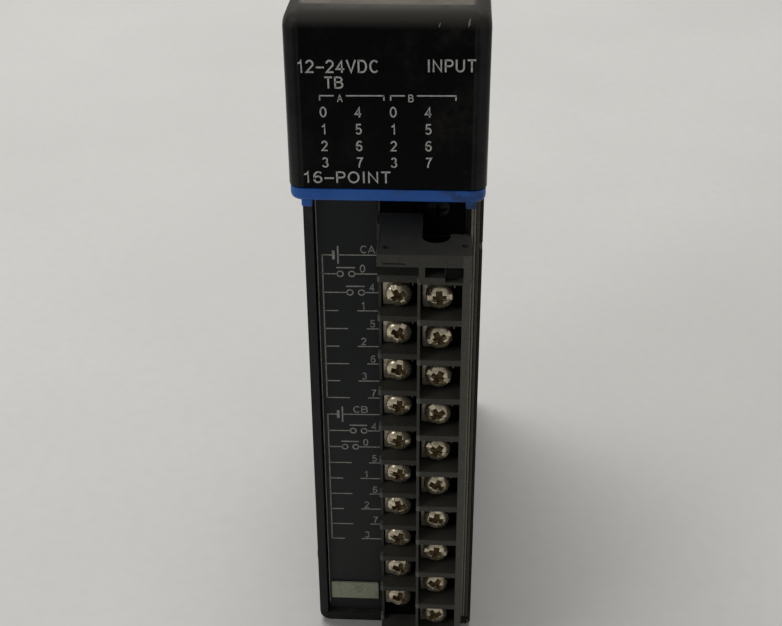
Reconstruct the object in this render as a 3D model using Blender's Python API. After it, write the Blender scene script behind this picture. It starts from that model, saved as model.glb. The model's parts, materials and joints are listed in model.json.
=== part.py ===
"""Industrial controller input module: housing, indicator cover, circuit boards
and a plug-in two-tier block of 20 screw terminals. Metres, +Z up, front faces -Y."""
import math

import bmesh
import bpy
from mathutils import Matrix, Vector

MM = 0.001

# Whole module
WIDTH = 34.5
HEIGHT = 150.0
DEPTH = 110.8
COVER_REACH = 18.8
FRONT = COVER_REACH - DEPTH / 2
HALF = WIDTH / 2
GAP = 0.3

# Housing
BODY_DEPTH = DEPTH - COVER_REACH
BODY_TOP = 149.6
LEFT_WALL = 1.85
FLOOR = 2.0
ROOF = 2.5
REAR_RECESS = 6.0
REAR_WALL = 2.0
PANEL_Y = 2.8
PANEL_WALL = 2.0
SIDE_X = 13.75
SIDE_SKIN = 1.8
BROW_Z = 115.0
VENT_COUNT = 7
VENT_PITCH = 9.0
VENT_WIDTH = 3.0
EDGE_ROUND = 1.2
CORNER_ROUND = 2.4
EDGE_GROOVES = ((15.65, 15.95, 2.0), (16.5, 16.7, 1.2))
SIDE_GROOVE_COUNT = 8
SIDE_GROOVE_PITCH = 8.0
SIDE_GROOVE_WIDTH = 3.2
SIDE_GROOVE_DEPTH = 0.8
SIDE_NOTCH_Z = 97.7
CASE_SCREW_Y = 80.0
CASE_SCREW_ZS = (8.5, 140.5)

# Indicator cover and colour band
COVER_BOTTOM = 118.3
COVER_WALL = 1.6
COVER_ROUND = 2.6
BAND_LOW = 115.6
BAND_HIGH = 118.0
BAND_HALF = 17.1
TAB_HALF = 14.5
TAB_WIDTH = 1.9
TAB_DROP = 1.4

# Terminal block
PITCH = 8.67
ROWS = 10
LEFT_X = 1.2
LEFT_Y = -2.0
LEFT_TOP_Z = 88.35
RIGHT_X = 9.3
RIGHT_Y = -14.0
RIGHT_TOP_Z = 94.85
DIVIDER_REACH = 4.0
DIVIDER_THICK = 1.2
LEFT_DROP = 0.6
RIGHT_DROP = 0.4
FLANGE_LOW = 102.6
FLANGE_HIGH = 105.1
PLATE_LEFT = -2.1
BLOCK_LEFT = -2.8
BLOCK_STEP = 5.7
BLOCK_RIGHT = 15.1
BLOCK_BOTTOM = 0.6
BLOCK_REAR = 3.3
LEFT_POCKET = (-2.25, 5.1)
RIGHT_POCKET = (5.8, 13.45)
TIER_RIGHT = 14.8
FOOT_LOW = 101.9
LEFT_WINDOW_LOW = 94.2
LOW_WALL = 0.7
LAST_LEFT_LOW = 3.0
POCKET_FLOOR = 1.2
HOLE_RADIUS = 1.8
HOLE_DEPTH = 2.2
JACK_TOP_Z = 107.4
JACK_BOTTOM_Z = 6.4
JACK_X = 8.6
JACK_HEAD = 2.2
TIER_TOP = 100.5
LATCH_RECESS = ((10.3, 13.6), (-19.0, -17.3), (99.6, 102.6))
LATCH_TAB = ((10.2, 13.7), (-17.3, -16.4), (99.5, 102.0))
BASE_BOTTOM = 2.5
BASE_TOP = 111.6
BASE_FRONT = -1.2
JACK_POCKET = (2.8, 10.6)
LOBE_REAR = -9.6
LOBE_ROUND = 2.5
NOTCH_X = 8.45
NOTCH_HALF = 2.65
NOTCH_Y = -10.7
FLANGE_HOLES = ((-0.4, -15.3), (13.9, -14.2))
FLANGE_HOLE_RADIUS = 0.72

# Terminal screws and their square washers
HEAD_RADIUS = 2.6
HEAD_HEIGHT = 1.65
SHANK_RADIUS = 1.45
SHANK_LENGTH = 2.9
SLOT_WIDTH = 0.7
SLOT_DEPTH = 0.7
WASHER_SPAN = (-3.2, 2.2)
WASHER_SIDE = 5.6
WASHER_THICK = 0.9
ROUND_STEPS = 16

COLOURS = {
    "housing_black": (0.014, 0.014, 0.015, 0.55),
    "side_cover_black": (0.017, 0.015, 0.014, 0.55),
    "smoked_black": (0.006, 0.006, 0.007, 0.12),
    "blue_plastic": (0.012, 0.075, 0.36, 0.4),
    "clear_acrylic": (0.75, 0.78, 0.8, 0.1),
    "board_green": (0.01, 0.09, 0.04, 0.45),
    "block_grey": (0.032, 0.031, 0.027, 0.6),
    "header_black": (0.02, 0.02, 0.02, 0.5),
    "connector_grey": (0.12, 0.12, 0.12, 0.5),
    "label_film": (0.012, 0.015, 0.018, 0.42),
    "marker_paper": (0.36, 0.38, 0.3, 0.75),
    "chip_epoxy": (0.02, 0.02, 0.022, 0.4),
    "capacitor_sleeve": (0.03, 0.05, 0.16, 0.35),
    "screw_steel": (0.55, 0.53, 0.5, 0.3),
    "washer_steel": (0.5, 0.47, 0.42, 0.38),
    "case_screw_zinc": (0.42, 0.42, 0.4, 0.35),
}
METALS = {"screw_steel", "washer_steel", "case_screw_zinc"}


def clear_scene():
    for obj in list(bpy.data.objects):
        bpy.data.objects.remove(obj, do_unlink=True)


def make_collection(name):
    group = bpy.data.collections.new(name)
    bpy.context.scene.collection.children.link(group)
    return group


def material(slot):
    found = bpy.data.materials.get(slot)
    if found:
        return found
    mat = bpy.data.materials.new(slot)
    mat.use_nodes = True
    shader = mat.node_tree.nodes["Principled BSDF"]
    red, green, blue, rough = COLOURS[slot]
    shader.inputs["Base Color"].default_value = (red, green, blue, 1.0)
    shader.inputs["Roughness"].default_value = rough
    shader.inputs["Metallic"].default_value = 1.0 if slot in METALS else 0.0
    return mat


clear_scene()
PARTS = make_collection("plc_input_module")
CUTTERS = make_collection("cutters")


def add_object(name, mesh, slot=None, place=(0.0, 0.0, 0.0)):
    """Links a mesh as a visible part, or as a cutter when it has no material slot."""
    obj = bpy.data.objects.new(name, mesh)
    obj.location = Vector(place) * MM
    if slot:
        if not mesh.materials:
            mesh.materials.append(material(slot))
        PARTS.objects.link(obj)
    else:
        CUTTERS.objects.link(obj)
        obj.hide_render = True
        obj.display_type = "WIRE"
    return obj


def finish_mesh(name, bm):
    bmesh.ops.recalc_face_normals(bm, faces=bm.faces)
    mesh = bpy.data.meshes.new(name)
    bm.to_mesh(mesh)
    bm.free()
    return mesh


def box_into(bm, x, y, z):
    """Adds a box to the mesh. Each argument is a (low, high) pair in millimetres, y from the front."""
    centre = Vector((sum(x) / 2, sum(y) / 2 + FRONT, sum(z) / 2)) * MM
    size = Vector((x[1] - x[0], y[1] - y[0], z[1] - z[0])) * MM
    matrix = Matrix.Translation(centre) @ Matrix.Diagonal(size.to_4d())
    return bmesh.ops.create_cube(bm, size=1.0, matrix=matrix)["verts"]


def boxes_mesh(name, boxes):
    bm = bmesh.new()
    for x, y, z in boxes:
        box_into(bm, x, y, z)
    return finish_mesh(name, bm)


def box(name, x, y, z, slot=None):
    return add_object(name, boxes_mesh(name, [(x, y, z)]), slot)


def round_box(name, x, y, z, radius, steps, wanted, slot=None):
    """A box whose wanted edges are rounded. wanted(direction, middle) picks an edge."""
    bm = bmesh.new()
    box_into(bm, x, y, z)
    chosen = []
    for edge in bm.edges:
        direction = (edge.verts[1].co - edge.verts[0].co).normalized()
        middle = (edge.verts[1].co + edge.verts[0].co) / 2
        if wanted(direction, middle):
            chosen.append(edge)
    bmesh.ops.bevel(bm, geom=chosen, offset=radius * MM, segments=steps,
                    affect="EDGES", profile=0.5)
    return add_object(name, finish_mesh(name, bm), slot)


def cylinder_into(bm, axis, radius, centre, start, end, steps):
    """Adds a round bar along "X", "Y" or "Z". centre is the other two coordinates."""
    middle = (start + end) / 2
    if axis == "X":
        place = Vector((middle, centre[0] + FRONT, centre[1]))
        turn = Matrix.Rotation(math.pi / 2, 4, "Y")
    elif axis == "Y":
        place = Vector((centre[0], middle + FRONT, centre[1]))
        turn = Matrix.Rotation(math.pi / 2, 4, "X")
    else:
        place = Vector((centre[0], centre[1] + FRONT, middle))
        turn = Matrix.Identity(4)
    matrix = Matrix.Translation(place * MM) @ turn
    bmesh.ops.create_cone(bm, cap_ends=True, segments=steps, radius1=radius * MM,
                          radius2=radius * MM, depth=abs(end - start) * MM, matrix=matrix)


def cylinders(name, bars, slot=None, steps=ROUND_STEPS):
    bm = bmesh.new()
    for axis, radius, centre, start, end in bars:
        cylinder_into(bm, axis, radius, centre, start, end, steps)
    return add_object(name, finish_mesh(name, bm), slot)


def combine(target, other, operation):
    modifier = target.modifiers.new(other.name, "BOOLEAN")
    modifier.operation = operation
    modifier.solver = "EXACT"
    modifier.object = other


def cut(target, cutter):
    combine(target, cutter, "DIFFERENCE")


def weld_on(target, extra):
    combine(target, extra, "UNION")


def lathe_mesh(name, profile, steps):
    """Turns (radius, y) points about the Y axis. The first and last points lie on it."""
    bm = bmesh.new()
    ring = [bm.verts.new((radius * MM, y * MM, 0.0)) for radius, y in profile]
    edges = [bm.edges.new(pair) for pair in zip(ring, ring[1:])]
    bmesh.ops.spin(bm, geom=ring + edges, cent=(0, 0, 0), axis=(0, 1, 0),
                   angle=math.tau, steps=steps, use_duplicate=False)
    bmesh.ops.remove_doubles(bm, verts=bm.verts, dist=1e-6)
    return finish_mesh(name, bm)


def shade_round(mesh):
    mesh.polygons.foreach_set("use_smooth", [True] * len(mesh.polygons))
    mesh.set_sharp_from_angle(angle=math.radians(35))


def left_rows():
    return [LEFT_TOP_Z - PITCH * row for row in range(ROWS)]


def right_rows():
    return [RIGHT_TOP_Z - PITCH * row for row in range(ROWS)]


def terminals():
    """(number, x, washer front y, z) of each terminal, left column first."""
    places = [(LEFT_X, LEFT_Y, z) for z in left_rows()]
    places += [(RIGHT_X, RIGHT_Y, z) for z in right_rows()]
    return [(number + 1, x, y, z) for number, (x, y, z) in enumerate(places)]


def build_housing():
    def lower_left(direction, middle):
        return abs(direction.y) > 0.9 and middle.x < 0
    body = round_box("main_housing", (-HALF, SIDE_X - GAP), (0, BODY_DEPTH), (0, BODY_TOP),
                     CORNER_ROUND, 4, lower_left, "housing_black")
    inner_left = LEFT_WALL - HALF
    open_right = SIDE_X + 1
    cavity_rear = BODY_DEPTH - REAR_RECESS - REAR_WALL
    hollows = [
        ((inner_left, open_right), (PANEL_Y + PANEL_WALL, cavity_rear), (FLOOR, BODY_TOP - ROOF)),
        ((inner_left, open_right), (-1, PANEL_Y), (FLOOR, BROW_Z)),
        ((inner_left, open_right), (BODY_DEPTH - REAR_RECESS, BODY_DEPTH + 1), (6, 144)),
    ]
    cut(body, add_object("housing_hollows", boxes_mesh("housing_hollows", hollows)))
    windows = [
        ((-2.9, open_right), (PANEL_Y - 1, PANEL_Y + PANEL_WALL + 1), (2.2, 112.2)),
        ((-12, 12), (-1, PANEL_Y + PANEL_WALL + 1), (123, 144)),
        ((-8.4, 6.4), (cavity_rear - 1, BODY_DEPTH - REAR_RECESS + 1), (39.6, 110.4)),
    ]
    cut(body, add_object("housing_windows", boxes_mesh("housing_windows", windows)))
    vents = []
    for number in range(VENT_COUNT):
        start = 16 + number * VENT_PITCH
        for z in ((-1, FLOOR + 1), (BODY_TOP - ROOF - 1, BODY_TOP + 1)):
            vents.append(((-11, 9), (start, start + VENT_WIDTH), z))
    cut(body, add_object("housing_vents", boxes_mesh("housing_vents", vents)))
    boss_y = (CASE_SCREW_Y - 3.5, CASE_SCREW_Y + 5)
    bosses = [((4, SIDE_X - GAP), boss_y, (1, 13)),
              ((4, SIDE_X - GAP), boss_y, (136, BODY_TOP - 1))]
    weld_on(body, add_object("screw_bosses", boxes_mesh("screw_bosses", bosses)))
    holes = [("X", 1.8, (CASE_SCREW_Y, z), 8, SIDE_X + 1) for z in CASE_SCREW_ZS]
    cut(body, cylinders("boss_holes", holes, steps=12))


def build_side_cover():
    def right_edges(direction, middle):
        return abs(direction.y) > 0.9 and middle.x > 0.016
    plate = round_box("side_cover", (SIDE_X, HALF), (0, BODY_DEPTH), (0, BODY_TOP),
                      EDGE_ROUND, 3, right_edges, "side_cover_black")
    pocket = [((SIDE_X - 1, HALF - SIDE_SKIN), (6, BODY_DEPTH - 8), (16, 133))]
    cut(plate, add_object("side_pocket", boxes_mesh("side_pocket", pocket)))
    grooves = []
    for number in range(SIDE_GROOVE_COUNT):
        start = 14 + number * SIDE_GROOVE_PITCH
        grooves.append(((HALF - SIDE_GROOVE_DEPTH, HALF + 1), (start, start + SIDE_GROOVE_WIDTH),
                        (20, 128)))
    cut(plate, add_object("side_grooves", boxes_mesh("side_grooves", grooves)))
    seams = [((low, high), (-1, depth), (-1, HEIGHT)) for low, high, depth in EDGE_GROOVES]
    cut(plate, add_object("side_seams", boxes_mesh("side_seams", seams)))
    notch = cylinders("side_notch", [("Y", 1.0, (HALF + 0.4, SIDE_NOTCH_Z), -1, 5)])
    cut(plate, notch)
    bores = [("X", 3.1, (CASE_SCREW_Y, z), HALF - 2.0, HALF + 1) for z in CASE_SCREW_ZS]
    cut(plate, cylinders("side_bores", bores))
    holes = [("X", 1.8, (CASE_SCREW_Y, z), SIDE_X - 1, HALF + 1) for z in CASE_SCREW_ZS]
    cut(plate, cylinders("side_holes", holes, steps=12))


def build_case_screws():
    profile = [(0, -1.7), (1.7, -1.45), (2.7, -0.7), (2.7, 0), (1.45, 0), (1.45, 3.6), (0, 3.6)]
    mesh = lathe_mesh("case_screw", profile, ROUND_STEPS)
    shade_round(mesh)
    mesh.transform(Matrix.Rotation(math.pi / 2, 4, "Z"))
    for name, z in zip(("case_screw_lower", "case_screw_upper"), CASE_SCREW_ZS):
        add_object(name, mesh, "case_screw_zinc", (HALF - 1.7, CASE_SCREW_Y + FRONT, z))


def build_cover():
    def front_edges(direction, middle):
        front = middle.y < (FRONT - COVER_REACH + 1) * MM
        upright = abs(direction.z) > 0.9 and front
        crown = middle.z > (HEIGHT - 1) * MM and abs(direction.z) < 0.1
        return upright or (crown and (front or abs(direction.y) > 0.9))
    shell = round_box("indicator_cover", (-HALF, HALF), (-COVER_REACH, -GAP),
                      (COVER_BOTTOM, HEIGHT), COVER_ROUND, 4, front_edges, "smoked_black")
    hollow = [((-HALF + COVER_WALL, HALF - COVER_WALL), (COVER_WALL - COVER_REACH, 1),
               (COVER_BOTTOM + COVER_WALL, HEIGHT - COVER_WALL - 0.8))]
    cut(shell, add_object("cover_hollow", boxes_mesh("cover_hollow", hollow)))


def build_band():
    def front_corners(direction, middle):
        return abs(direction.z) > 0.9 and middle.y < (FRONT - COVER_REACH + 1) * MM
    band = round_box("color_band", (-BAND_HALF, BAND_HALF), (-COVER_REACH, -GAP),
                     (BAND_LOW, BAND_HIGH), COVER_ROUND, 4, front_corners, "blue_plastic")
    tabs = []
    for side in (-1, 1):
        middle = side * TAB_HALF
        tabs.append(((middle - TAB_WIDTH / 2, middle + TAB_WIDTH / 2),
                     (0.7 - COVER_REACH, 3.0 - COVER_REACH), (BAND_LOW - TAB_DROP, BAND_LOW + 1)))
    weld_on(band, add_object("band_tabs", boxes_mesh("band_tabs", tabs)))


def build_light_guide():
    guide = box("light_guide", (-12.6, 12.6), (-16.9, -15.5), (121.2, 146.6), "clear_acrylic")
    pipes = []
    for x in (-9.2, -3.4, 2.6, 8.4):
        for row in range(4):
            pipes.append(("Y", 1.0, (x, 132.4 - 3.05 * row), -16.2, -2.4))
    weld_on(guide, cylinders("light_pipes", pipes, steps=8))


def build_boards():
    box("indicator_board", (-13.2, 13.2), (-1.9, -GAP), (121, 146.5), "board_green")
    board = box("logic_board", (-12.9, -11.3), (8, 82), (5, 143), "board_green")
    holes = [("X", 1.6, (y, z), -14, -10) for y in (14, 76) for z in (11, 137)]
    cut(board, cylinders("board_holes", holes, steps=12))
    box("interface_chip", (-11.0, -8.4), (44, 58), (84, 98), "chip_epoxy")
    box("optocoupler_array", (-11.0, -7.4), (26, 33), (20, 98), "chip_epoxy")
    cylinders("capacitor", [("X", 4.0, (50, 122), -11.0, 1.0)], "capacitor_sleeve")
    plug = box("backplane_connector", (-8.0, 6.0), (74, BODY_DEPTH - 0.2), (40, 110),
               "connector_grey")
    slots = [((x, x + 3.0), (BODY_DEPTH - 8, BODY_DEPTH + 1), (43, 107)) for x in (-5.6, 0.6)]
    cut(plug, add_object("plug_slots", boxes_mesh("plug_slots", slots)))


def build_header():
    header = box("terminal_header", (-1.0, SIDE_X - 0.25), (BLOCK_REAR + 0.6, 20), (3.0, 111.8),
                 "header_black")
    blades = []
    for _, x, _, z in terminals():
        blades.append(((x - 0.4, x + 0.4), (1.3, BLOCK_REAR + 1.6), (z - 4.3, z - 2.3)))
    weld_on(header, add_object("header_blades", boxes_mesh("header_blades", blades)))
    holes = [("Y", 1.8, (JACK_X, z), 0, 15) for z in (JACK_TOP_Z, JACK_BOTTOM_Z)]
    cut(header, cylinders("header_holes", holes, steps=12))


def build_labels():
    box("label_panel", (-15.1, -3.0), (1.5, PANEL_Y - GAP), (2.3, 114.4), "label_film")
    box("marker_strip", (-14.5, -3.8), (0.9, 1.3), (5.9, 10.5), "marker_paper")


def block_body():
    """The moulded block before its pockets: a stepped bar, a top plate and a jack tab."""
    front_left = LEFT_Y - DIVIDER_REACH
    front_right = RIGHT_Y - DIVIDER_REACH
    block = box("terminal_block", (BLOCK_LEFT, BLOCK_STEP), (front_left, -GAP),
                (BLOCK_BOTTOM, FLANGE_HIGH), "block_grey")
    extras = {
        "block_right_tier": ((BLOCK_STEP - 0.4, TIER_RIGHT), (front_right, -GAP),
                             (BLOCK_BOTTOM, TIER_TOP)),
        "block_top_plate": ((PLATE_LEFT, NOTCH_X - NOTCH_HALF + 0.2), (front_right - 0.2, -1.0),
                            (FLANGE_LOW, FLANGE_HIGH)),
        "block_base": ((BLOCK_LEFT + 0.2, SIDE_X - 0.2), (BASE_FRONT, BLOCK_REAR),
                       (BASE_BOTTOM, BASE_TOP)),
    }
    for name, (x, y, z) in extras.items():
        weld_on(block, box(name, x, y, z))

    def rear_right(direction, middle):
        rear = middle.y > (LOBE_REAR - 1 + FRONT) * MM
        return abs(direction.z) > 0.9 and rear and middle.x > 0.01
    weld_on(block, round_box("block_lobe", (BLOCK_STEP - 0.2, BLOCK_RIGHT),
                             (front_right - 0.2, LOBE_REAR), (TIER_TOP - 1, FLANGE_HIGH),
                             LOBE_ROUND, 5, rear_right))
    return block


def cut_pockets(block):
    half_open = (PITCH - DIVIDER_THICK) / 2
    columns = (
        ("left_pockets", LEFT_POCKET, LEFT_Y, LEFT_DROP, left_rows()),
        ("right_pockets", RIGHT_POCKET, RIGHT_Y, RIGHT_DROP, right_rows()),
    )
    for name, span, washer_y, drop, rows in columns:
        depth = (washer_y - DIVIDER_REACH - 1, washer_y + POCKET_FLOOR)
        pockets = []
        for z in rows:
            middle = z + drop
            pockets.append((span, depth, (middle - half_open, middle + half_open)))
        cut(block, add_object(name, boxes_mesh(name, pockets)))
    open_side = (BLOCK_LEFT - 1, LEFT_POCKET[0] + 0.5)
    open_depth = (LEFT_Y - DIVIDER_REACH - 1, LEFT_Y - LOW_WALL)
    openings = []
    for z in left_rows():
        middle = z + LEFT_DROP
        openings.append((open_side, open_depth, (middle - half_open, middle + half_open)))
    openings[-1] = (open_side, open_depth, (LAST_LEFT_LOW, openings[-1][2][1]))
    openings.append((open_side, open_depth, (LEFT_WINDOW_LOW, FOOT_LOW)))
    cut(block, add_object("left_openings", boxes_mesh("left_openings", openings)))
    windows = [
        (LEFT_POCKET, (LEFT_Y - DIVIDER_REACH - 1, LEFT_Y), (LEFT_WINDOW_LOW, FLANGE_LOW - 0.3)),
        (LEFT_POCKET, (LEFT_Y - DIVIDER_REACH - 1, LEFT_Y + POCKET_FLOOR), (LAST_LEFT_LOW, 10)),
        ((6.65, 13.6), (RIGHT_Y - DIVIDER_REACH - 1, RIGHT_Y + 3), (TIER_TOP, FLANGE_LOW)),
        ((5.9, 13.3), (RIGHT_Y - DIVIDER_REACH - 1, BASE_FRONT), JACK_POCKET),
        ((-0.95, 3.2), (RIGHT_Y - DIVIDER_REACH - 1, -17.8), (103.1, 103.35)),
    ]
    cut(block, add_object("block_windows", boxes_mesh("block_windows", windows)))
    cut(block, box("latch_recess", *LATCH_RECESS))
    weld_on(block, box("block_latch_tab", *LATCH_TAB))


def cut_holes(block):
    threads = []
    sockets = []
    for _, x, y, z in terminals():
        threads.append(("Y", HOLE_RADIUS, (x, z), y, y + POCKET_FLOOR + HOLE_DEPTH))
        sockets.append(((x - 0.8, x + 0.8), (0.5, BLOCK_REAR + 1), (z - 4.7, z - 1.95)))
    cut(block, cylinders("thread_holes", threads, steps=12))
    cut(block, add_object("blade_sockets", boxes_mesh("blade_sockets", sockets)))
    jacks = [("Y", 1.8, (JACK_X, z), -1.9, BLOCK_REAR + 1) for z in (JACK_TOP_Z, JACK_BOTTOM_Z)]
    cut(block, cylinders("jack_holes", jacks, steps=12))
    deep = (TIER_TOP - 2, FLANGE_HIGH + 1)
    notch = box("jack_notch", (NOTCH_X - NOTCH_HALF, NOTCH_X + NOTCH_HALF), (NOTCH_Y, -1.4), deep)
    weld_on(notch, cylinders("notch_end", [("Z", NOTCH_HALF, (NOTCH_X, NOTCH_Y), *deep)],
                             steps=20))
    cut(block, notch)
    pegs = [("Z", FLANGE_HOLE_RADIUS, place, 101.0, 107.0) for place in FLANGE_HOLES]
    cut(block, cylinders("flange_holes", pegs, steps=12))


def build_block():
    block = block_body()
    cut_pockets(block)
    cut_holes(block)


def build_jack_screws():
    profile = [(0, -4.6), (1.3, -4.4), (JACK_HEAD, -3.9), (JACK_HEAD, -1.9), (1.4, -1.9),
               (1.4, 12.0), (0, 12.6)]
    mesh = lathe_mesh("jack_screw", profile, ROUND_STEPS)
    shade_round(mesh)
    slot = box("jack_slot", (-4, 4), (-5.4 - FRONT, -3.9 - FRONT), (-0.4, 0.4))
    for name, z in (("jack_screw_top", JACK_TOP_Z), ("jack_screw_bottom", JACK_BOTTOM_Z)):
        screw = add_object(name, mesh, "case_screw_zinc", (JACK_X, FRONT, z))
        cutter = add_object(name + "_slot", slot.data, None, (JACK_X, FRONT, z))
        cut(screw, cutter)
    bpy.data.objects.remove(slot)


def build_terminals():
    head = [(0, -GAP - HEAD_HEIGHT), (1.3, -GAP - 0.92 * HEAD_HEIGHT),
            (2.2, -GAP - 0.66 * HEAD_HEIGHT), (HEAD_RADIUS, -GAP - 0.3 * HEAD_HEIGHT),
            (HEAD_RADIUS, -GAP)]
    shank = [(SHANK_RADIUS, -GAP), (SHANK_RADIUS, SHANK_LENGTH), (0, SHANK_LENGTH)]
    screw_mesh = lathe_mesh("terminal_screw", head + shank, ROUND_STEPS)
    shade_round(screw_mesh)
    side = WASHER_SIDE / 2
    slot_top = -GAP - HEAD_HEIGHT - 1
    slot_floor = -GAP - HEAD_HEIGHT + SLOT_DEPTH
    slot = box("screw_slot", (-4, 4), (slot_top - FRONT, slot_floor - FRONT),
               (-SLOT_WIDTH / 2, SLOT_WIDTH / 2))
    plate = box("washer_plate", WASHER_SPAN, (-FRONT, WASHER_THICK - FRONT), (-side, side))
    bore = cylinders("washer_bore", [("Y", HOLE_RADIUS, (0, 0), -1 - FRONT, 2 - FRONT)], steps=12)
    plate.data.materials.append(material("washer_steel"))
    for number, x, y, z in terminals():
        place = (x, y + FRONT, z)
        screw = add_object(f"terminal_screw_{number:02d}", screw_mesh, "screw_steel", place)
        cut(screw, add_object(f"slot_{number:02d}", slot.data, None, place))
        washer = add_object(f"washer_{number:02d}", plate.data, "washer_steel", place)
        cut(washer, add_object(f"bore_{number:02d}", bore.data, None, place))
    for spare in (slot, plate, bore):
        bpy.data.objects.remove(spare)


build_housing()
build_side_cover()
build_case_screws()
build_cover()
build_band()
build_light_guide()
build_boards()
build_header()
build_labels()
build_block()
build_jack_screws()
build_terminals()
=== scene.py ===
"""Visual model of the controller input module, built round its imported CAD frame.

The front faces -Y and Z is up. Lengths are millimetres where they are multiplied by MM or where
a comment or docstring says so, and metres elsewhere.
"""
import json
import math
import random

import bmesh
import bpy
from mathutils import Matrix, Vector


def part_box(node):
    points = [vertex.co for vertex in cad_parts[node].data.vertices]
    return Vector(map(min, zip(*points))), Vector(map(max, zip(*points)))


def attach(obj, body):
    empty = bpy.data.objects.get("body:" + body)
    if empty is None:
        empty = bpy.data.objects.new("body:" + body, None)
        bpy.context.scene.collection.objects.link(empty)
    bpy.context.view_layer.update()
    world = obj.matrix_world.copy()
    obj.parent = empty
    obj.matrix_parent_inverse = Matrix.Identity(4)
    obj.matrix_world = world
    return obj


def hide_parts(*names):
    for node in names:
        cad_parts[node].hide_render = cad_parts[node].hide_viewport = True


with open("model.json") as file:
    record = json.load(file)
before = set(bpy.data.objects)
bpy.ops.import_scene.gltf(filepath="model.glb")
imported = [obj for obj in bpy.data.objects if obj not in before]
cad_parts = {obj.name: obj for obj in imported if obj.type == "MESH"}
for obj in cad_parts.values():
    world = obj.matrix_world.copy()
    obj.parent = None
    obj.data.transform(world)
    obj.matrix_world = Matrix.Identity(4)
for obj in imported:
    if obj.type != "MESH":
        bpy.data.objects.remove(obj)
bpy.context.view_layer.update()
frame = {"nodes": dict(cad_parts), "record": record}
NODES = frame["nodes"]
MM = 0.001
SEED = 7
random.seed(SEED)

COVER_LOW, COVER_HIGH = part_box("indicator_cover")
BAND_LOW, BAND_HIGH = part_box("color_band")
HOUSING_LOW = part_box("main_housing")[0]
LABEL_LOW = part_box("label_panel")[0]
FRONT_EDGE = HOUSING_LOW.y
# The place of each terminal screw by its number. 01 to 10 are the left row, the rest the right.
TERMINALS = {}
LAST_OF_LEFT_ROW = 10
for joint in frame["record"]["behaviour"]["joints"]:
    if joint["name"].startswith("screw_"):
        TERMINALS[joint["name"][6:8]] = Vector(joint["pos_m"])


# ---------------------------------------------------------------- materials
METAL_SPECULAR = 0.5
PLASTIC_SPECULAR = 0.22
STEP_BLUR = 0.1 * MM
# Sockets of the Mix node when it mixes colours. Their names repeat, so they are reached by number.
MIX_FACTOR, MIX_A, MIX_B, MIX_RESULT = 0, 6, 7, 2


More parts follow.
